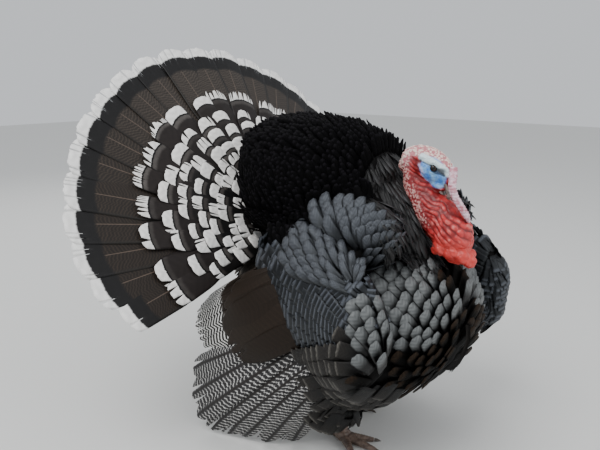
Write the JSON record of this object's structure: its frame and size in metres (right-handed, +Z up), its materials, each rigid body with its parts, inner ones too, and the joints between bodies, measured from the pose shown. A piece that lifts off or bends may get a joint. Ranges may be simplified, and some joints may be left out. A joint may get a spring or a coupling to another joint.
{
  "type": "life-size tom turkey figure",
  "caption": "Still, life-size tom turkey in full strut: spread tail fan, puffed body, drooped wings resting on the floor, bare head with snood and red wattle",
  "frame": {"origin": "on the floor, under the middle of the bird's bounding box", "axes": "+X to the bird's left, -Y the way it faces, +Z up"},
  "size_m": [0.8502, 0.6668, 0.7023],
  "materials": {
    "black_plume": "matt black body feathers with a faint bronze gloss",
    "slate_plume": "charcoal to slate-grey shoulder and wing feathers",
    "brown_plume": "dark brown feathers, finely barred",
    "barred_plume": "grey-black flight feathers with white bars",
    "tail_plume": "brown tail feathers, finely barred, with a black band and a white tip",
    "white_plume": "brown coverts with a black line and a white tip",
    "red_skin": "bare red skin in folds and swollen lobes",
    "blue_skin": "bare pale blue skin, warty and pinkish white at the crown",
    "pink_skin": "bare pink skin, finely ringed",
    "bill_horn": "grey-brown horn",
    "eye_gloss": "dark brown, wet gloss",
    "leg_scale": "greyish pink horny scales",
    "claw_horn": "dark horn",
    "bristle": "coarse black bristles"
  },
  "bodies": {
    "root": {"trunk": "black_plume", "mantle": "black_plume", "cape": "black_plume", "wing_left": "slate_plume", "wing_right": "slate_plume", "scapulars_left": "slate_plume", "scapulars_right": "slate_plume", "secondaries_left": "brown_plume", "secondaries_right": "brown_plume", "thigh_left": "brown_plume", "thigh_right": "brown_plume", "undertail_coverts": "brown_plume", "primaries_left": "barred_plume", "primaries_right": "barred_plume", "tail_fan": "tail_plume", "tail_coverts": "white_plume", "neck": "red_skin", "wattle": "red_skin", "head": "blue_skin", "snood": "pink_skin", "bill_upper": "bill_horn", "bill_lower": "bill_horn", "eye_left": "eye_gloss", "eye_right": "eye_gloss", "foot_left": "leg_scale", "foot_right": "leg_scale", "shank_left": "leg_scale", "shank_right": "leg_scale", "claw_inner_left": "claw_horn", "claw_inner_right": "claw_horn", "claw_middle_left": "claw_horn", "claw_middle_right": "claw_horn", "claw_outer_left": "claw_horn", "claw_outer_right": "claw_horn", "claw_hind_left": "claw_horn", "claw_hind_right": "claw_horn", "spur_left": "claw_horn", "spur_right": "claw_horn", "beard": "bristle"}
  },
  "joints": []
}
